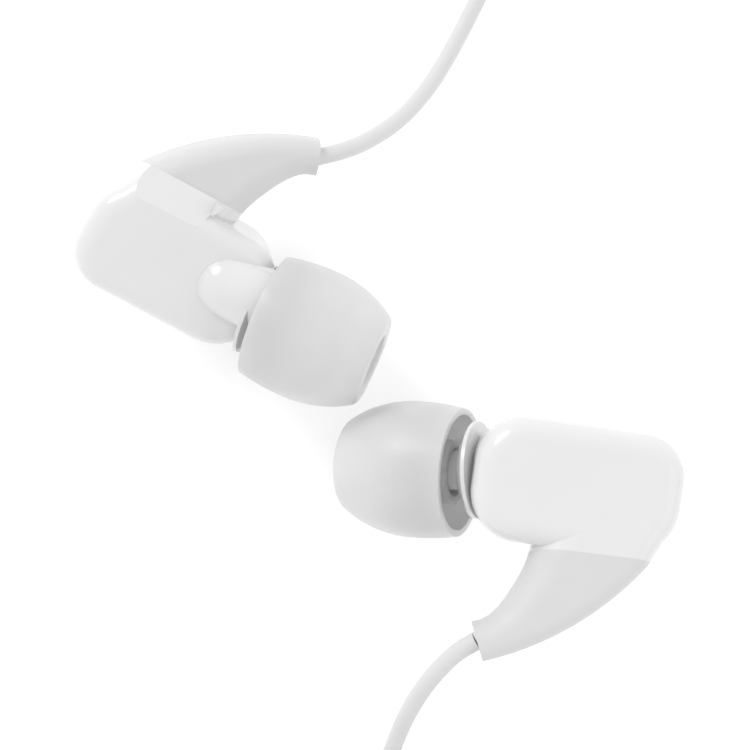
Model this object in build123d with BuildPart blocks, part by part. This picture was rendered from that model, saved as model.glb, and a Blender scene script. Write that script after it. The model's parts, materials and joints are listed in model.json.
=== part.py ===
"""A pair of wired in-ear earphones: two mirrored earbuds, a Y-shaped cord and a 3.5 mm plug.

Millimetres, +Z up. The origin is on the surface that the earbuds lie on, under the middle of the pair.
Each earbud is drawn once, as the right-hand one, in its own frame: X forward to the nozzle, Y down
towards the cord and Z inward to the head, from the middle of its flat outer face. The left earbud is its
mirror image. Both are then turned to the way they lie.
"""

import os
from math import asin, cos, pi, radians, sin, tan

from build123d import *

# Earbud housing
housing_length = 18.0
housing_height = 11.0
housing_thickness = 8.2
housing_shift = -0.1
back_corner = 3.8
horn_corner = 5.0
front_corner = 4.3
outer_round = 1.95
inner_round = 1.8
wall = 0.9
cavity_round = 2.6
seam_height = 2.5

# Rubber horn that guides the cord out of the housing
# The parting line slants: its height is parting_height on the outer face's middle.
parting_height = 5.2
parting_normal = Vector(-0.03, 1, -0.24)
horn_root = 5.7
horn_root_depth = 3.7
bevel_end = 0.2
horn_back_slope = Vector(-0.425, -0.905, 0)
horn_root_back = -6.9
horn_root_front = 3.1
horn_root_thickness = 6.4
horn_end_thickness = 4.0
horn_end_corner = 1.4
horn_nose = 0.47
horn_end_back = (5.95, 15.8)
horn_end_front = (7.35, 12.7)
horn_stations = 5
knot_radius = 0.95

# Sound nozzle
rim_centre = Vector(10.0, 0.1, 7.4)
nozzle_yaw = 22.5
nozzle_dip = 8.5
pipe_radius = 3.1
pipe_start = -5.0
pipe_inward = 1.35
pipe_down = 1.2
collar_radius = 4.4
collar_front_radius = 3.25
collar_front = -0.85
collar_depth = 0.8
collar_edge = 0.35
neck_radius = 1.85
barb_radius = 1.9
neck_end = 6.2
bore_radius = 1.6
bore_start = -7.6
mesh_radius = 1.5
mesh_thickness = 0.15

# Silicone ear tip
tip_radius = 6.3
tip_length = 11.05
tip_widest = 4.4
tip_back_radius = 5.85
tip_front_half = 8.9
tip_front_round = 0.7
tip_mouth_radius = 2.55
tip_skirt = 0.6
tip_core_radius = 2.95
tip_core_start = 0.5
tip_cavity_end = 6.8
tip_bore_radius = 2.25
tip_pushed_on = {"right": 0.8, "left": 0.2}
# The soft tips sit a little askew on the neck: yaw and dip of each tip, and where it turns
tip_aim = {"right": (22.5, 11.0), "left": (22.5, 4.5)}
tip_pivot = 3.0

# Driver
driver_x = 3.0
driver_radius = 4.0
driver_back = 1.6
driver_depth = 3.6
yoke_radius = 2.75
yoke_wall = 0.35
magnet_radius = 1.9
magnet_depth = 0.9
plate_radius = 1.95
plate_depth = 0.45
coil_radius = 2.05
coil_wall = 0.15
film = 0.12
diaphragm_radius = 3.5

# Cords: one from each earbud to the splitter, and the main cord from there to the plug
cord_diameter = 1.6
turn_pitch = 1.65
coil_lift = 0.25
tie_arc = 20
floor_height = cord_diameter / 2
splitter_end = Vector(21, -51.3)
splitter_length = 6
splitter_height = 2.6
branch_gap = 1.0

# Plug
plug_start = Vector(-2, -64.6, 3)
relief_length = 8
relief_radius = 1.15
plug_length = 14
plug_radius = 3
pin_length = 14
pin_radius = 1.75
ring_start = 5.6
ring_length = 2.6
insulator_length = 0.6

# How each earbud lies: place of its outer face's middle, then turns about X, Y and Z in that order
lie = {
    "right": Location((-18.515, 13.575, 3.0), (21.7, 9.4, -33.0)),
    "left": Location((17.785, -8.635, 16.3), (-2.6, -1.55, 171.55)),
}


def aim(yaw, dip, handed=1):
    """A direction from the housing's length, turned inward by yaw and towards the cord by dip."""
    level = cos(radians(dip))
    return Vector(
        cos(radians(yaw)) * level,
        sin(radians(dip)),
        handed * sin(radians(yaw)) * level,
    )


nozzle_axis = aim(nozzle_yaw, nozzle_dip)
nozzle_side = nozzle_axis.cross(Vector(0, 1, 0)).normalized()
# Local X is the distance from the nozzle's axis, and local Y is the distance along it.
nozzle_section = Plane(
    origin=rim_centre, x_dir=nozzle_side, z_dir=nozzle_side.cross(nozzle_axis)
)
nozzle_line = Axis(rim_centre, nozzle_axis)

os.makedirs("parts", exist_ok=True)


def write(shape, node):
    shape.label = node
    export_step(shape, f"parts/{node}.step")


def write_pair(shape, node, sides=("right", "left")):
    """Place a piece drawn for the right earbud on each side, mirrored on the left."""
    for side in sides:
        handed = shape if side == "right" else mirror(shape, about=Plane.XY)
        write(lie[side] * handed, f"{side}_{node}")


def along_nozzle(distance):
    return Plane(origin=rim_centre + nozzle_axis * distance, z_dir=nozzle_axis)


def tip_place(side):
    """The place of a side's ear tip, with local Z along the tip."""
    handed = 1 if side == "right" else -1
    rim = Vector(rim_centre.X, rim_centre.Y, handed * rim_centre.Z)
    pivot = rim + aim(nozzle_yaw, nozzle_dip, handed) * tip_pivot
    tip_axis = aim(*tip_aim[side], handed)
    back = pivot - tip_axis * (tip_pivot + tip_pushed_on[side])
    return Plane(origin=back, z_dir=tip_axis).location


def pill(inset, outer_fillet, inner_fillet):
    """The housing's rounded block, with every face moved in by inset."""
    with BuildPart() as block:
        with BuildSketch(Plane.XY.offset(inset)) as outline:
            with Locations((0, housing_shift)):
                Rectangle(housing_length - 2 * inset, housing_height - 2 * inset)
            fillet(outline.vertices().group_by(Axis.X)[-1], front_corner - inset)
            fillet(outline.vertices().group_by(Axis.X)[0].sort_by(Axis.Y)[0], back_corner - inset)
            fillet(outline.vertices().group_by(Axis.X)[0].sort_by(Axis.Y)[-1], horn_corner - inset)
        extrude(amount=housing_thickness - 2 * inset)
        fillet(block.faces().sort_by(Axis.Z)[0].edges(), outer_fillet)
        fillet(block.faces().sort_by(Axis.Z)[-1].edges(), inner_fillet)
    return block.part


def horn_edge(side):
    """The horn's back or front edge on the outer face, from its root to its end."""
    with BuildLine() as edge:
        if side == "back":
            ThreePointArc((horn_root_back, horn_root), (-1.7, 11.35), horn_end_back)
        else:
            Spline(
                (horn_root_front, horn_root),
                (3.95, 8.7),
                horn_end_front,
                tangents=((0, 1), (1, 0.3)),
            )
    return edge.line


back_edge = horn_edge("back")
front_edge = horn_edge("front")


def horn_section(share):
    """One cross-section of the horn, with a round nose at the front."""
    back = back_edge @ share
    front = front_edge @ share
    width = (front - back).length
    thickness = horn_root_thickness + share * (horn_end_thickness - horn_root_thickness)
    back_round = outer_round + share * (horn_end_corner - outer_round)
    plane = Plane(origin=back, x_dir=front - back, z_dir=(front - back).cross(Vector(0, 0, 1)))
    with BuildSketch(plane) as section:
        with Locations((width / 2, thickness / 2)):
            Rectangle(width, thickness)
        fillet(section.vertices().group_by(Axis.X)[0], back_round)
        fillet(section.vertices().group_by(Axis.X)[-1], horn_nose * thickness)
    return section.sketch


with BuildPart() as horn_blank:
    for station in range(horn_stations):
        add(horn_section(station / (horn_stations - 1)))
    loft()

# The horn's root goes on into the housing along the slope of its back edge.
with BuildPart() as guide:
    add(horn_blank.part)
    extrude(horn_section(0), amount=horn_root_depth, dir=horn_back_slope)

parting = Plane(origin=(-2, parting_height, 0), x_dir=(1, 0.03, 0), z_dir=parting_normal)
with BuildPart() as horn_side:
    with BuildSketch(parting):
        Rectangle(4 * housing_length, 4 * housing_length)
    extrude(amount=2 * housing_length)

# The cord's bore through the horn, in the plane of the horn's middle at its end.
horn_end_middle = (Vector(*horn_end_back) + Vector(*horn_end_front)) * 0.5
bore_height = horn_end_thickness / 2
cord_exit = horn_end_middle + Vector(0, 0, bore_height)
knot_place = Vector(-2.6, 3.2, bore_height)
with BuildPart() as cord_tail:
    with BuildLine() as tail_route:
        FilletPolyline(
            knot_place,
            Vector(-1.8, 7.4, bore_height),
            cord_exit,
            radius=5,
        )
    with BuildSketch(Plane(origin=tail_route.line @ 0, z_dir=tail_route.line % 0)):
        Circle(cord_diameter / 2)
    sweep()

# The wedge that leads from the inner face down to the horn's inner side, with its flat bevel
bevel_back = Vector(-8.0, 3.8, housing_thickness)
bevel_front = Vector(bevel_end, 4.1, housing_thickness)
bevel_foot = Vector(-4.0, 6.7, horn_root_thickness)
bevel_line = bevel_front - bevel_back
bevel_normal = bevel_line.cross(bevel_foot - bevel_back)
with BuildPart() as bevel:
    with BuildSketch(Plane(origin=bevel_front, x_dir=bevel_line, z_dir=bevel_normal)):
        with Locations((-housing_length / 2, 0)):
            Rectangle(housing_length, housing_length)
    extrude(amount=housing_thickness)
wedge_width = bevel_end - horn_root_back
wedge_root = Plane(origin=(horn_root_back, horn_root, 0), x_dir=(1, 0, 0), z_dir=(0, -1, 0))
with BuildPart() as wedge:
    with BuildSketch(wedge_root) as wedge_section:
        with Locations((wedge_width / 2, housing_thickness / 2)):
            Rectangle(wedge_width, housing_thickness)
        fillet(wedge_section.vertices().group_by(Axis.X)[0], outer_round)
    extrude(amount=horn_root_depth, dir=horn_back_slope)
    extrude(wedge_section.sketch, amount=1.2, dir=horn_back_slope * -1)

with BuildPart() as housing:
    add(guide.part)
    add(wedge.part)
    add(horn_side.part, mode=Mode.SUBTRACT)
    add(pill(0, outer_round, inner_round))
    add(bevel.part, mode=Mode.SUBTRACT)

cavity = pill(wall, outer_round - wall, cavity_round)

with BuildPart() as outer_shell:
    add(housing.part)
    add(cavity, mode=Mode.SUBTRACT)
    with BuildSketch(Plane.XY.offset(seam_height)):
        Rectangle(3 * housing_length, 4 * housing_height)
    extrude(amount=2 * housing_thickness, mode=Mode.SUBTRACT)
    add(cord_tail.part, mode=Mode.SUBTRACT)
write_pair(outer_shell.part, "outer_shell")

# The nozzle: a round-ended pipe beside the neck's axis, a neck with a barb, and a collar between them.
collar_back = collar_front - collar_depth
pipe_place = along_nozzle(pipe_start)
pipe_place.origin += nozzle_side * pipe_inward + nozzle_section.z_dir * pipe_down
with BuildPart() as nozzle:
    with BuildSketch(pipe_place):
        Circle(pipe_radius)
    extrude(amount=collar_front - pipe_start)
    with Locations(pipe_place.origin):
        Sphere(pipe_radius)
    with BuildSketch(nozzle_section):
        with BuildLine():
            Polyline(
                (0, collar_back),
                (neck_radius, collar_back),
                (neck_radius, neck_end - 1.2),
                (barb_radius, neck_end - 0.9),
                (barb_radius, neck_end - 0.5),
                (neck_radius - 0.15, neck_end),
                (0, neck_end),
                close=True,
            )
        make_face()
    revolve(axis=nozzle_line)
    with BuildSketch(nozzle_section):
        with BuildLine():
            Polyline(
                (0, collar_back - collar_edge),
                (collar_radius, collar_back - collar_edge),
                (collar_radius, collar_back),
                (collar_front_radius, collar_front),
                (0, collar_front),
                close=True,
            )
        make_face()
    revolve(axis=nozzle_line)
with BuildPart() as nozzle_bore:
    with BuildSketch(pipe_place.offset(bore_start - pipe_start)):
        Circle(bore_radius)
    extrude(amount=collar_front - 0.4 - bore_start)
    with BuildSketch(along_nozzle(collar_front - 0.9)):
        Circle(bore_radius - 0.25)
    extrude(amount=neck_end + 1 - collar_front)
    with BuildSketch(along_nozzle(neck_end - 0.5)):
        Circle(mesh_radius)
    extrude(amount=1)

with BuildPart() as inner_shell:
    add(housing.part)
    with BuildSketch(Plane.XY.offset(seam_height)):
        Rectangle(3 * housing_length, 4 * housing_height)
    extrude(amount=-2 * housing_thickness, mode=Mode.SUBTRACT)
    add(nozzle.part)
    add(cavity, mode=Mode.SUBTRACT)
    add(nozzle_bore.part, mode=Mode.SUBTRACT)
    add(cord_tail.part, mode=Mode.SUBTRACT)
    add(outer_shell.part, mode=Mode.SUBTRACT)
write_pair(inner_shell.part, "inner_shell")

with BuildPart() as nozzle_mesh:
    with BuildSketch(along_nozzle(neck_end - 0.5)):
        Circle(mesh_radius)
    extrude(amount=mesh_thickness)
write_pair(nozzle_mesh.part, "nozzle_mesh")

with BuildPart() as horn:
    add(guide.part)
    add(horn_side.part, mode=Mode.INTERSECT)
    add(housing.part, mode=Mode.SUBTRACT)
    add(cord_tail.part, mode=Mode.SUBTRACT)
write_pair(horn.part, "horn")
write_pair(cord_tail.part, "cord_tail")

with BuildPart() as cord_knot:
    with Locations(knot_place - Vector(0.1, knot_radius, 0)):
        Sphere(knot_radius)
write_pair(cord_knot.part, "cord_knot")

# The ear tip: an outer dome and skirt around a core that grips the neck, drawn upright about Z.
front_angle = asin((tip_length - tip_widest) / tip_front_half)
with BuildPart() as ear_tip:
    with BuildSketch(Plane.XZ) as tip_section:
        with BuildLine():
            skirt = TangentArc(
                (tip_radius, tip_widest),
                (tip_back_radius, 0),
                tangent=(0, -1),
            )
            dome = Spline(
                (tip_radius, tip_widest),
                (tip_radius * cos(front_angle / 2), tip_widest + tip_front_half * sin(front_angle / 2)),
                (tip_radius * cos(front_angle), tip_length),
                tangents=((0, 1), (-tip_radius * sin(front_angle), tip_front_half * cos(front_angle))),
            )
            Polyline(
                dome @ 1,
                (tip_mouth_radius, tip_length),
                (tip_bore_radius, tip_length - 2.0),
                (tip_bore_radius, tip_core_start),
                (tip_core_radius, tip_core_start),
                (tip_core_radius, tip_cavity_end - 0.6),
                (tip_core_radius + 0.4, tip_cavity_end),
                (tip_core_radius + 1.2, tip_cavity_end - 0.2),
            )
            ThreePointArc(
                (tip_core_radius + 1.2, tip_cavity_end - 0.2),
                (tip_radius - 1.15 * tip_skirt, tip_widest - 0.4),
                (tip_back_radius - tip_skirt, 0),
            )
            Line((tip_back_radius - tip_skirt, 0), skirt @ 1)
        make_face()
        fillet(tip_section.vertices().group_by(Axis.Y)[-1].sort_by(Axis.X)[0], 0.3)
        fillet(tip_section.vertices().group_by(Axis.Y)[-1].sort_by(Axis.X)[-1], tip_front_round)
    revolve(axis=Axis.Z)
for side in tip_aim:
    write(lie[side] * tip_place(side) * ear_tip.part, f"{side}_ear_tip")

# The driver: frame, motor, coil, diaphragm, front grille and terminal board, stacked inward.
def ring(inner, outer, bottom, depth):
    """A flat ring or disc on the driver's axis."""
    with BuildPart() as disc:
        with BuildSketch(Plane(origin=(driver_x, 0, bottom))):
            Circle(outer)
            if inner:
                Circle(inner, mode=Mode.SUBTRACT)
        extrude(amount=depth)
    return disc.part


yoke_bottom = driver_back + 0.1
magnet_bottom = yoke_bottom + yoke_wall
plate_bottom = magnet_bottom + magnet_depth
plate_top = plate_bottom + plate_depth
with BuildPart() as driver_frame:
    add(ring(yoke_radius, driver_radius, driver_back, 0.5))
    add(ring(driver_radius - 0.4, driver_radius, driver_back + 0.5, driver_depth - 0.5))
    with BuildSketch(Plane(origin=(driver_x, 0, driver_back))):
        with PolarLocations((yoke_radius + driver_radius) / 2 - 0.1, 4, start_angle=45):
            Circle(0.25)
    extrude(amount=0.5, mode=Mode.SUBTRACT)
with BuildPart() as yoke:
    add(ring(0, yoke_radius, yoke_bottom, yoke_wall))
    add(ring(yoke_radius - yoke_wall, yoke_radius, magnet_bottom, magnet_depth + plate_depth))
rise = plate_top + 0.65
with BuildPart() as diaphragm:
    with BuildSketch(Plane.XZ):
        with BuildLine():
            coil_edge = coil_radius + coil_wall
            TangentArc((0, rise + 0.5), (coil_radius, rise), tangent=(1, 0))
            Line((coil_radius, rise), (coil_edge, rise))
            ThreePointArc(
                (coil_edge, rise),
                ((coil_edge + diaphragm_radius - 0.3) / 2, rise + 0.35),
                (diaphragm_radius - 0.3, rise),
            )
            Polyline(
                (diaphragm_radius - 0.3, rise),
                (diaphragm_radius, rise),
                (diaphragm_radius, rise + film),
                (diaphragm_radius - 0.3, rise + film),
            )
            ThreePointArc(
                (diaphragm_radius - 0.3, rise + film),
                ((coil_edge + diaphragm_radius - 0.3) / 2, rise + 0.35 + film),
                (coil_edge, rise + film),
            )
            Line((coil_edge, rise + film), (coil_radius, rise + film))
            TangentArc((0, rise + 0.5 + film), (coil_radius, rise + film), tangent=(1, 0))
            Line((0, rise + 0.5 + film), (0, rise + 0.5))
        make_face()
    revolve(axis=Axis.Z)
with BuildPart() as driver_grille:
    add(ring(0, driver_radius, driver_back + driver_depth + 0.05, 0.3))
    with BuildSketch(Plane(origin=(driver_x, 0, driver_back + driver_depth))):
        for row_radius, holes in ((0.01, 1), (1.0, 6), (2.0, 12)):
            with PolarLocations(row_radius, holes):
                Circle(0.25)
    extrude(amount=1, mode=Mode.SUBTRACT)
with BuildPart() as terminal_board:
    with BuildSketch(Plane(origin=(driver_x, 0, wall + 0.05))):
        SlotOverall(4.4, 1.8)
        with Locations((-1.4, 0), (1.4, 0)):
            Circle(0.3, mode=Mode.SUBTRACT)
    extrude(amount=0.4)
write_pair(driver_frame.part, "driver_frame")
write_pair(yoke.part, "yoke")
write_pair(ring(0, magnet_radius, magnet_bottom, magnet_depth), "magnet")
write_pair(ring(0, plate_radius, plate_bottom, plate_depth), "top_plate")
write_pair(ring(coil_radius, coil_radius + coil_wall, plate_bottom + 0.1, rise - plate_bottom - 0.1), "voice_coil")
for side, handed in (("right", 0), ("left", 180)):
    write(lie[side] * Location((driver_x, 0, 0), (handed, 0, 0)) * diaphragm.part, f"{side}_diaphragm")
write_pair(driver_grille.part, "driver_grille")
write_pair(ring(yoke_radius + 0.1, driver_radius - 0.2, driver_back - 0.12, 0.12), "damping_cloth")
write_pair(terminal_board.part, "terminal_board")

# Each coil: centre, innermost and outermost radius of the cord's middle, layers, and the tie's direction
coils = {
    "right": (Vector(24.5, 48.7), 7.2, 8.8, 2, 200),
    "left": (Vector(7, -50.5), 6.9, 10.2, 2, 60),
    "main": (Vector(-17, -51), 6.3, 11.3, 4, 150),
}


def on_coil(name, radius, angle, layer):
    """A point on a coil, at the middle of its cord."""
    height = coil_lift + floor_height + layer * turn_pitch
    turned = Vector(radius, 0).rotate(Axis.Z, angle)
    return coils[name][0] + turned + Vector(0, 0, height)


# The routes of the stretches that aren't coiled
cord_routes = {
    "right_cord_lead": [
        (-5.03, 21.39, 5.89),
        (-2.6, 21.98, 5.4),
        (0.12, 23.37, 4.5),
        (2.7, 25.35, 3.2),
        (4.85, 27.83, 2.0),
        (6.64, 30.55, 1.15),
        (8.22, 33.41, 0.85),
        (9.68, 36.21, 0.8),
        (11.2, 39.4, 0.8),
        (12.9, 43.3, 0.8),
        (14.6, 48.1, 0.92),
        on_coil("right", 8.8, 154.5, 0),
    ],
    "right_cord_run": [
        on_coil("right", 8.8, 45, 1),
        (33.6, 52.0, 2.3),
        (36.3, 48.2, 1.4),
        (38.2, 43.4, 0.85),
        (39.1, 37.4, 0.8),
        (38.9, 28.6, 0.8),
        (39.3, 18.6, 0.8),
        (38.6, 8.0, 0.8),
        (39.0, -3.0, 0.8),
        (39.2, -14.0, 0.8),
        (38.7, -25.0, 0.8),
        (39.1, -35.0, 0.8),
        (39.0, -43.6, 0.8),
        (38.5, -50.4, 0.8),
        (37.0, -55.2, 0.8),
        (34.2, -58.8, 0.8),
        (30.2, -60.2, 0.8),
        (26.0, -59.2, 0.85),
        (23.1, -56.6, 1.0),
        (22.1, -53.9, 1.2),
        splitter_end + Vector(branch_gap, 0, splitter_height / 2),
    ],
    "left_cord_lead": [
        (9.17, -21.84, 14.66),
        (7.59, -22.76, 14.3),
        (5.82, -24.82, 13.2),
        (4.35, -27.14, 11.7),
        (3.11, -29.9, 9.8),
        (2.2, -32.8, 7.7),
        (1.3, -35.9, 5.8),
        (0.1, -39.2, 4.3),
        (-1.3, -42.7, 3.3),
        on_coil("left", 10.2, 156.5, 1),
    ],
    "left_cord_run": [
        on_coil("left", 10.2, -60, 0),
        (14.9, -57.7, 1.1),
        (17.4, -55.9, 1.15),
        (19.25, -53.75, 1.25),
        splitter_end + Vector(-branch_gap, 0, splitter_height / 2),
    ],
    "main_cord_lead": [
        splitter_end + Vector(0, splitter_length, splitter_height / 2),
        (21.0, -43.1, 1.2),
        (20.3, -40.85, 1.0),
        (18.7, -39.1, 0.85),
        (16.5, -38.15, 0.8),
        (12.9, -37.9, 0.8),
        (6.5, -38.2, 0.8),
        (-1.5, -38.5, 0.8),
        (-9.5, -39.1, 0.85),
        on_coil("main", 11.3, 90, 0),
    ],
    "main_cord_run": [
        on_coil("main", 11.3, 270, 3),
        (-13.9, -62.6, 5.6),
        (-10.6, -63.4, 4.6),
        (-7.4, -64.2, 3.5),
        (-4.7, -64.6, 3.1),
        plug_start,
    ],
}


def corner_radii(route):
    """For each corner, the radius of an arc that takes 0.45 of the shorter run beside it."""
    runs = [after - before for before, after in zip(route, route[1:])]
    radii = []
    for first, second in zip(runs, runs[1:]):
        half_turn = radians(first.get_angle(second)) / 2
        radii.append(0.45 * min(first.length, second.length) / tan(half_turn))
    return radii


for node, points in cord_routes.items():
    route = [Vector(*point) for point in points]
    radii = corner_radii(route)
    with BuildPart() as cord_tube:
        with BuildLine() as cord_line:
            FilletPolyline(*route, radius=radii)
        with BuildSketch(Plane(origin=cord_line.line @ 0, z_dir=cord_line.line % 0)):
            Circle(cord_diameter / 2)
        sweep()
    section_length = cord_tube.part.volume / (pi * cord_diameter**2 / 4)
    print(f"{node}: {cord_line.wire().length:.1f} mm, {section_length:.1f} mm by volume, bend radii")
    print("  ", " ".join(f"{radius:.1f}" for radius in radii))
    write(cord_tube.part, node)


def bundle_outline(name, margin):
    """The rounded outline of a coil's bundle of turns, with a margin, in the plane of its tie."""
    centre, inner, outer, layers, direction = coils[name]
    width = outer - inner + cord_diameter
    height = cord_diameter + (layers - 1) * turn_pitch
    plane = Plane(
        origin=centre + Vector(0, 0, coil_lift + height / 2),
        x_dir=Vector(1, 0).rotate(Axis.Z, direction),
        z_dir=Vector(0, -1).rotate(Axis.Z, direction),
    )
    with BuildSketch(plane) as outline:
        with Locations(((inner + outer) / 2, 0)):
            RectangleRounded(width + 2 * margin, height + 2 * margin, floor_height + margin)
    return outline.sketch


for name in coils:
    upright = Axis(coils[name][0], (0, 0, 1))
    with BuildPart() as coil_bundle:
        add(bundle_outline(name, 0))
        revolve(axis=upright)
    write(coil_bundle.part, f"{name}_coil")
    with BuildPart() as cord_tie:
        add(bundle_outline(name, coil_lift))
        revolve(axis=upright, revolution_arc=tie_arc)
        add(coil_bundle.part, mode=Mode.SUBTRACT)
    write(cord_tie.part, f"{name}_tie")

with BuildPart() as y_splitter:
    with BuildSketch(Plane(origin=splitter_end)):
        with BuildLine():
            Polyline(
                (-2.3, 0),
                (2.3, 0),
                (2.3, 2.0),
                (1.3, splitter_length),
                (-1.3, splitter_length),
                (-2.3, 2.0),
                close=True,
            )
        make_face()
    extrude(amount=splitter_height)
    fillet(y_splitter.edges(), 0.5)
write(y_splitter.part, "y_splitter")


def turned(node, outline):
    """A piece of the plug, turned about its axis: outline holds places along it and radii."""
    with BuildPart() as piece:
        with BuildSketch(Plane(origin=plug_start, x_dir=(1, 0, 0), z_dir=(0, -1, 0))):
            with BuildLine():
                Polyline(*outline, close=True)
            make_face()
        revolve(axis=Axis(plug_start, (1, 0, 0)))
    write(piece.part, node)


body_start = relief_length
pin_start = body_start + plug_length
ring_place = pin_start + ring_start
ring_end = ring_place + ring_length
contact_place = ring_end + insulator_length
pin_end = pin_start + pin_length
turned(
    "plug_relief",
    [(0, 0), (0, relief_radius), (body_start, relief_radius + 1.05), (body_start, 0)],
)
turned(
    "plug_body",
    [
        (body_start, 0),
        (body_start, plug_radius - 0.5),
        (body_start + 0.5, plug_radius),
        (pin_start - 1.5, plug_radius),
        (pin_start, plug_radius - 0.6),
        (pin_start, 0),
    ],
)
turned(
    "plug_sleeve",
    [
        (pin_start, 0),
        (pin_start, pin_radius + 0.6),
        (pin_start + 0.8, pin_radius + 0.6),
        (pin_start + 0.8, pin_radius),
        (ring_place - insulator_length, pin_radius),
        (ring_place - insulator_length, 0),
    ],
)
for node, start in (("plug_insulator_back", ring_place), ("plug_insulator_front", contact_place)):
    turned(
        node,
        [
            (start - insulator_length, 0),
            (start - insulator_length, pin_radius),
            (start, pin_radius),
            (start, 0),
        ],
    )
turned("plug_ring", [(ring_place, 0), (ring_place, pin_radius), (ring_end, pin_radius), (ring_end, 0)])
turned(
    "plug_tip",
    [
        (contact_place, 0),
        (contact_place, pin_radius),
        (contact_place + 1.2, pin_radius),
        (contact_place + 2.2, 1.25),
        (contact_place + 3.0, pin_radius),
        (pin_end - 0.8, 0.7),
        (pin_end, 0.3),
        (pin_end, 0),
    ],
)
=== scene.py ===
"""Looks of the wired earphones: materials, cords and light around the CAD model. Metres, +Z up."""

import json
import math

import bpy
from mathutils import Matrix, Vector


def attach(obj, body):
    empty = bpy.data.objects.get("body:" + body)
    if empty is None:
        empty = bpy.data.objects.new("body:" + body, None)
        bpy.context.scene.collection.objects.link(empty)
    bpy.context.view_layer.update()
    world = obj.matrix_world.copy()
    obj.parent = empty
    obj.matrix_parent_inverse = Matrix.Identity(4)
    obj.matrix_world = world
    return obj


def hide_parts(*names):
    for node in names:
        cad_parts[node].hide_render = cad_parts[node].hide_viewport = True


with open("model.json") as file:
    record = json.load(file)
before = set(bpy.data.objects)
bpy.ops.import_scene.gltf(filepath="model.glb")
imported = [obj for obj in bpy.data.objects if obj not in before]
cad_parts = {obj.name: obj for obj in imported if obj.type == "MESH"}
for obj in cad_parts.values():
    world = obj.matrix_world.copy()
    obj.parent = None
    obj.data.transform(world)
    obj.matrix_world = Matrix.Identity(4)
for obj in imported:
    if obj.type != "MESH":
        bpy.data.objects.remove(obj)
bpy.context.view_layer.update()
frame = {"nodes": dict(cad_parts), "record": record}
nodes = frame["nodes"]
MM = 0.001

# ---------------------------------------------------------------- materials

# Nearly all of a noise's values lie between these two.
NOISE_LOW = 0.3
NOISE_HIGH = 0.7


def shader(name, colour, roughness, **values):
    """A principled material. Further values are set on the shader's sockets by their names."""
    material = bpy.data.materials.new(name)
    material.use_nodes = True
    surface = material.node_tree.nodes["Principled BSDF"]
    surface.inputs["Base Color"].default_value = (*colour, 1)
    surface.inputs["Roughness"].default_value = roughness
    for socket, value in values.items():
        surface.inputs[socket.replace("_", " ")].default_value = value
    return material, surface


def noise(material, scale):
    """A noise texture in the object's own coordinates: scale counts features per metre."""
    tree = material.node_tree
    place = tree.nodes.new("ShaderNodeTexCoord")
    texture = tree.nodes.new("ShaderNodeTexNoise")
    texture.inputs["Scale"].default_value = scale
    texture.inputs["Detail"].default_value = 3
    tree.links.new(place.outputs["Object"], texture.inputs["Vector"])
    return texture.outputs["Fac"]


def vary(material, surface, socket, scale, low, high):
    """The socket's value follows a noise from low to high."""
    tree = material.node_tree
    spread = tree.nodes.new("ShaderNodeMapRange")
    spread.inputs["From Min"].default_value = NOISE_LOW
    spread.inputs["From Max"].default_value = NOISE_HIGH
    spread.inputs["To Min"].default_value = low
    spread.inputs["To Max"].default_value = high
    tree.links.new(noise(material, scale), spread.inputs["Value"])
    tree.links.new(spread.outputs["Result"], surface.inputs[socket])


def tint(material, surface, scale, first, second):
    """The base colour drifts between two close colours."""
    tree = material.node_tree
    ramp = tree.nodes.new("ShaderNodeValToRGB")
    ramp.color_ramp.elements[0].position = NOISE_LOW
    ramp.color_ramp.elements[0].color = (*first, 1)
    ramp.color_ramp.elements[1].position = NOISE_HIGH
    ramp.color_ramp.elements[1].color = (*second, 1)
    tree.links.new(noise(material, scale), ramp.inputs["Fac"])
    tree.links.new(ramp.outputs["Color"], surface.inputs["Base Color"])


def bump(material, surface, height, distance):
    """A height output pushes the surface in and out by up to distance metres."""
    tree = material.node_tree
    relief = tree.nodes.new("ShaderNodeBump")
    relief.inputs["Strength"].default_value = 1
    relief.inputs["Distance"].default_value = distance
    tree.links.new(height, relief.inputs["Height"])
    tree.links.new(relief.outputs["Normal"], surface.inputs["Normal"])


def glossy_plastic():
    material, surface = shader(
        "white_shell",
        (0.77, 0.77, 0.77),
        0.18,
        Specular_IOR_Level=0.5,
        Coat_Weight=0.3,
        Coat_Roughness=0.08,
    )
    tint(material, surface, 150, (0.762, 0.762, 0.76), (0.778, 0.778, 0.776))
    vary(material, surface, "Roughness", 700, 0.14, 0.22)
    bump(material, surface, noise(material, 400), 0.000006)
    return material


def soft_rubber(name, shade):
    material, surface = shader(name, (shade, shade, shade), 0.45, Specular_IOR_Level=0.35)
    tint(material, surface, 600, (shade - 0.004,) * 3, (shade + 0.004, shade + 0.004, shade + 0.002))
    vary(material, surface, "Roughness", 3000, 0.4, 0.52)
    bump(material, surface, noise(material, 9000), 0.000006)
    return material


def silicone():
    material, surface = shader(
        "silicone",
        (0.86, 0.86, 0.86),
        0.32,
        Transmission_Weight=0.3,
        IOR=1.41,
        Subsurface_Weight=0.5,
        Subsurface_Scale=0.002,
        Subsurface_Radius=(1.0, 1.0, 1.0),
    )
    tint(material, surface, 250, (0.852, 0.852, 0.852), (0.868, 0.868, 0.868))
    vary(material, surface, "Roughness", 900, 0.29, 0.36)
    bump(material, surface, noise(material, 1500), 0.000004)
    return material


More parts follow.
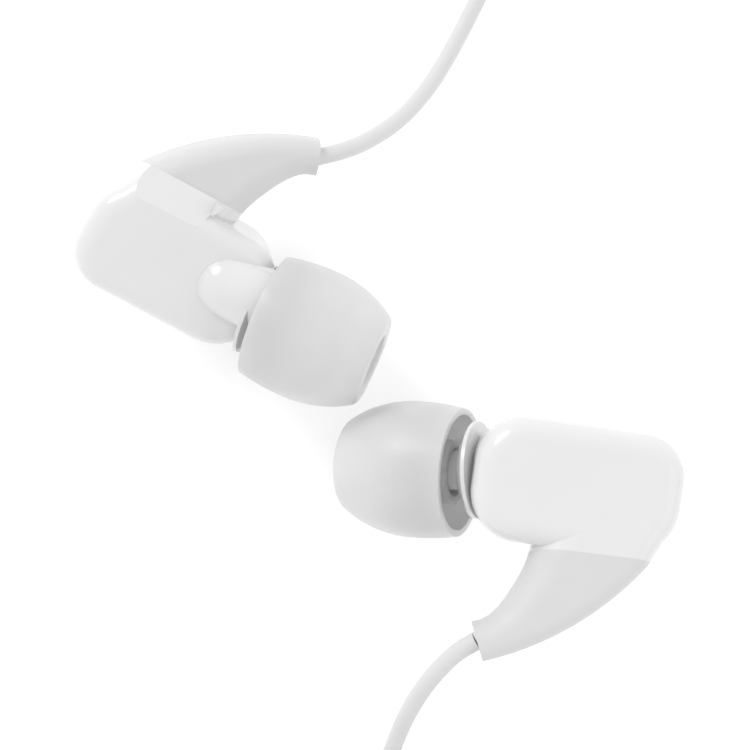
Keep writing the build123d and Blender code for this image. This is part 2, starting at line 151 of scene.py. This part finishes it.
def woven_mesh():
    """Fine dark steel gauze."""
    material, surface = shader("steel_mesh", (0.12, 0.12, 0.13), 0.4, Metallic=0.9)
    tree = material.node_tree
    place = tree.nodes.new("ShaderNodeTexCoord")
    cells = tree.nodes.new("ShaderNodeTexVoronoi")
    cells.inputs["Scale"].default_value = 5500
    tree.links.new(place.outputs["Object"], cells.inputs["Vector"])
    ramp = tree.nodes.new("ShaderNodeValToRGB")
    ramp.color_ramp.elements[0].color = (0.01, 0.01, 0.01, 1)
    ramp.color_ramp.elements[1].color = (0.25, 0.25, 0.27, 1)
    tree.links.new(cells.outputs["Distance"], ramp.inputs["Fac"])
    tree.links.new(ramp.outputs["Color"], surface.inputs["Base Color"])
    bump(material, surface, cells.outputs["Distance"], 0.00005)
    return material


def metal(name, colour, roughness):
    material, surface = shader(name, colour, roughness, Metallic=1.0)
    tint(material, surface, 700, colour, tuple(0.94 * part for part in colour))
    vary(material, surface, "Roughness", 2500, 0.7 * roughness, 1.4 * roughness)
    bump(material, surface, noise(material, 6000), 0.000004)
    return material


def moulded(name, colour, roughness=0.5):
    material, surface = shader(name, colour, roughness)
    tint(material, surface, 800, colour, tuple(0.97 * part for part in colour))
    vary(material, surface, "Roughness", 4000, 0.85 * roughness, min(1.0, 1.2 * roughness))
    bump(material, surface, noise(material, 12000), 0.00001)
    return material


materials = {
    "white_shell": glossy_plastic(),
    "white_rubber": soft_rubber("white_rubber", 0.67),
    "silicone": silicone(),
    "cord_sheath": soft_rubber("cord_sheath", 0.7),
    "steel_mesh": woven_mesh(),
    "white_frame": moulded("white_frame", (0.7, 0.7, 0.68)),
    "steel": metal("steel", (0.62, 0.62, 0.62), 0.25),
    "magnet": metal("magnet", (0.7, 0.7, 0.71), 0.12),
    "copper_wire": metal("copper_wire", (0.72, 0.38, 0.2), 0.3),
    "film": moulded("film", (0.75, 0.75, 0.7), 0.25),
    "cloth": moulded("cloth", (0.1, 0.1, 0.1), 0.9),
    "circuit_board": moulded("circuit_board", (0.06, 0.22, 0.1), 0.45),
    "tie_strap": moulded("tie_strap", (0.72, 0.72, 0.72), 0.6),
    "white_moulding": moulded("white_moulding", (0.78, 0.78, 0.77), 0.38),
    "plug_metal": metal("plug_metal", (0.8, 0.79, 0.77), 0.1),
    "plug_insulator": moulded("plug_insulator", (0.02, 0.02, 0.02), 0.4),
}


def dress(piece, slot):
    """Gives a piece the material of its slot, as its only one."""
    piece.data.materials.clear()
    piece.data.materials.append(materials[slot])


for part in frame["record"]["subparts"]:
    dress(nodes[part["node"]], part["material_slot"])

# ---------------------------------------------------------------- cords

# In millimetres: the cord's diameter, the distance between turns, and the gap under the lowest turn
CORD = 1.6
PITCH = 1.65
LIFT = 0.25
# Control points per turn, and the share of a turn that leads over to the next column or layer
STEPS = 18
STEP_OVER = 0.3

# Each coil: centre, outermost radius, then the column and layer of each of its turns in order
COILS = {
    "right": ((24.5, 48.7), 8.8, [(0, 0), (1, 0), (1, 1), (0, 1)]),
    "left": ((7, -50.5), 10.2, [(0, 1), (1, 1), (2, 1), (2, 0), (1, 0), (0, 0)]),
    "main": (
        (-17, -51),
        11.3,
        [(0, 0), (1, 0), (2, 0), (3, 0), (3, 1), (2, 1), (1, 1), (0, 1)]
        + [(0, 2), (1, 2), (2, 2), (2, 3), (1, 3), (0, 3)],
    ),
}


def coil_points(name, start, turns):
    """Control points of a coil's turns, in millimetres.

    The start is an angle in degrees, and turns is negative if the coil runs clockwise.
    """
    (x, y), outer, places = COILS[name]
    count = round(abs(turns) * STEPS)
    points = []
    for step in range(count + 1):
        turn = step * abs(turns) / count
        now = min(int(turn), len(places) - 1)
        after = min(now + 1, len(places) - 1)
        share = max(0.0, (turn - now - 1 + STEP_OVER) / STEP_OVER)
        share = share * share * (3 - 2 * share)
        column = places[now][0] + share * (places[after][0] - places[now][0])
        layer = places[now][1] + share * (places[after][1] - places[now][1])
        radius = (outer - PITCH * column) / math.cos(math.pi / STEPS)
        angle = math.radians(start) + 2 * math.pi * turns * step / count
        height = LIFT + CORD / 2 + PITCH * layer
        points.append((x + radius * math.cos(angle), y + radius * math.sin(angle), height))
    return points


RIGHT_LEAD = [
    (-5.03, 21.39, 5.89),
    (-2.6, 21.98, 5.4),
    (0.12, 23.37, 4.5),
    (2.7, 25.35, 3.2),
    (4.85, 27.83, 2.0),
    (6.64, 30.55, 1.15),
    (8.22, 33.41, 0.85),
    (9.68, 36.21, 0.8),
    (11.2, 39.4, 0.8),
    (12.9, 43.3, 0.8),
    (14.6, 48.1, 0.92),
]
RIGHT_RUN = [
    (33.6, 52.0, 2.3),
    (36.3, 48.2, 1.4),
    (38.2, 43.4, 0.85),
    (39.1, 37.4, 0.8),
    (38.9, 28.6, 0.8),
    (39.3, 18.6, 0.8),
    (38.6, 8.0, 0.8),
    (39.0, -3.0, 0.8),
    (39.2, -14.0, 0.8),
    (38.7, -25.0, 0.8),
    (39.1, -35.0, 0.8),
    (39.0, -43.6, 0.8),
    (38.5, -50.4, 0.8),
    (37.0, -55.2, 0.8),
    (34.2, -58.8, 0.8),
    (30.2, -60.2, 0.8),
    (26.0, -59.2, 0.85),
    (23.1, -56.6, 1.0),
    (22.1, -53.9, 1.2),
    (22.0, -51.3, 1.3),
]
LEFT_LEAD = [
    (9.17, -21.84, 14.66),
    (7.59, -22.76, 14.3),
    (5.82, -24.82, 13.2),
    (4.35, -27.14, 11.7),
    (3.11, -29.9, 9.8),
    (2.2, -32.8, 7.7),
    (1.3, -35.9, 5.8),
    (0.1, -39.2, 4.3),
    (-1.3, -42.7, 3.3),
]
LEFT_RUN = [
    (14.9, -57.7, 1.1),
    (17.4, -55.9, 1.15),
    (19.25, -53.75, 1.25),
    (20.0, -51.3, 1.3),
]
MAIN_LEAD = [
    (21.0, -45.3, 1.3),
    (21.0, -43.1, 1.2),
    (20.3, -40.85, 1.0),
    (18.7, -39.1, 0.85),
    (16.5, -38.15, 0.8),
    (12.9, -37.9, 0.8),
    (6.5, -38.2, 0.8),
    (-1.5, -38.5, 0.8),
    (-9.5, -39.1, 0.85),
]
MAIN_RUN = [
    (-13.9, -62.6, 5.6),
    (-10.6, -63.4, 4.6),
    (-7.4, -64.2, 3.5),
    (-4.7, -64.6, 3.1),
    (-2.0, -64.6, 3.0),
]


def cord(name, points, stands_for):
    """One smooth cord along its control points, in millimetres."""
    line = bpy.data.curves.new(name, "CURVE")
    line.dimensions = "3D"
    spline = line.splines.new("NURBS")
    spline.points.add(len(points) - 1)
    for point, place in zip(spline.points, points):
        point.co = (*(MM * value for value in place), 1)
    spline.order_u = 3
    spline.use_endpoint_u = True
    spline.resolution_u = 6
    line.bevel_depth = MM * CORD / 2
    line.bevel_resolution = 6
    line.use_fill_caps = True
    piece = bpy.data.objects.new(name, line)
    bpy.context.scene.collection.objects.link(piece)
    dress(piece, "cord_sheath")
    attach(piece, "earphones")
    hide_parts(*stands_for)
    return piece


cord(
    "right_cord",
    RIGHT_LEAD + coil_points("right", 154.5, -(3 + 109.5 / 360)) + RIGHT_RUN,
    ["right_cord_lead", "right_coil", "right_cord_run"],
)
cord(
    "left_cord",
    LEFT_LEAD + coil_points("left", 156.5, 5 + 143.5 / 360) + LEFT_RUN,
    ["left_cord_lead", "left_coil", "left_cord_run"],
)
cord(
    "main_cord",
    MAIN_LEAD + coil_points("main", 90, 13.5) + MAIN_RUN,
    ["main_cord_lead", "main_coil", "main_cord_run"],
)

# ---------------------------------------------------------------- floor, light and camera

FLOOR_HALF = 1.5
floor_mesh = bpy.data.meshes.new("floor")
corners = [(-1, -1), (1, -1), (1, 1), (-1, 1)]
floor_mesh.from_pydata([(FLOOR_HALF * x, FLOOR_HALF * y, 0) for x, y in corners], [], [(0, 1, 2, 3)])
floor = bpy.data.objects.new("floor", floor_mesh)
bpy.context.scene.collection.objects.link(floor)
# A light table: it glows a little, so the ground stays white under the object.
paper, paper_surface = shader("paper", (0.8, 0.8, 0.8), 0.8, Specular_IOR_Level=0.1)
paper_surface.inputs["Emission Color"].default_value = (1, 1, 1, 1)
paper_surface.inputs["Emission Strength"].default_value = 0.35
floor.data.materials.append(paper)


def softbox(name, place, aim, width, power):
    light = bpy.data.lights.new(name, "AREA")
    light.shape = "DISK"
    light.size = width
    light.energy = power
    lamp = bpy.data.objects.new(name, light)
    lamp.location = place
    lamp.rotation_euler = (Vector(aim) - Vector(place)).to_track_quat("-Z", "Y").to_euler()
    bpy.context.scene.collection.objects.link(lamp)


softbox("key_light", (-0.3, 0.4, 0.35), (0, 0, 0), 0.3, 0.9)
softbox("fill_light", (0.4, -0.1, 0.3), (0, 0, 0), 0.4, 0.2)


def light_tent(zenith, horizon):
    """A white tent around the object: its strength runs from the horizon up to the zenith."""
    world = bpy.data.worlds.new("studio")
    world.use_nodes = True
    tree = world.node_tree
    place = tree.nodes.new("ShaderNodeTexCoord")
    split = tree.nodes.new("ShaderNodeSeparateXYZ")
    tree.links.new(place.outputs["Generated"], split.inputs["Vector"])
    spread = tree.nodes.new("ShaderNodeMapRange")
    spread.inputs["To Min"].default_value = horizon
    spread.inputs["To Max"].default_value = zenith
    tree.links.new(split.outputs["Z"], spread.inputs["Value"])
    tree.links.new(spread.outputs["Result"], tree.nodes["Background"].inputs["Strength"])
    tree.nodes["Background"].inputs["Color"].default_value = (1, 1, 1, 1)
    bpy.context.scene.world = world


light_tent(zenith=0.84, horizon=1.05)
bpy.context.scene.view_settings.view_transform = "Standard"

lens = bpy.data.cameras.new("camera")
lens.lens = 57.9
lens.sensor_width = 36
lens.clip_start = 0.005
camera = bpy.data.objects.new("camera", lens)
camera.location = (0.000405, 0.001045, 0.1186)
bpy.context.scene.collection.objects.link(camera)
bpy.context.scene.camera = camera
